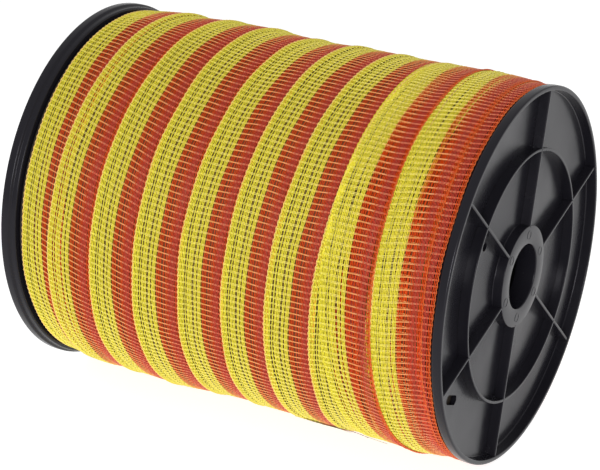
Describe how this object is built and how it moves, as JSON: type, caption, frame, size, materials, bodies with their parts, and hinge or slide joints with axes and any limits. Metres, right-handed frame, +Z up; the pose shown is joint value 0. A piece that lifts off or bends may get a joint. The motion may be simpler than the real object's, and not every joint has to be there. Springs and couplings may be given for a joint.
{
  "type": "electric fence tape reel",
  "caption": "Reel of woven electric fence tape, half yellow and half orange, on a black plastic spool with ribbed flanges.",
  "frame": {"origin": "on the reel's axis, halfway between the two flanges' lips", "axes": "+X along the reel's axis towards the flange that the picture shows, +Z up with the reel lying on its rims"},
  "size_m": [0.193, 0.1498, 0.1498],
  "materials": {
    "spool_plastic": "glossy black moulded plastic",
    "core_plastic": "matt black plastic tube",
    "yellow_thread": "woven yellow plastic thread",
    "orange_thread": "woven orange-red plastic thread",
    "steel_wire": "fine dull steel wire"
  },
  "bodies": {
    "root": {"flange_right": "spool_plastic", "flange_left": "spool_plastic", "core_tube": "core_plastic", "tape_winding": "yellow_thread"}
  },
  "joints": []
}
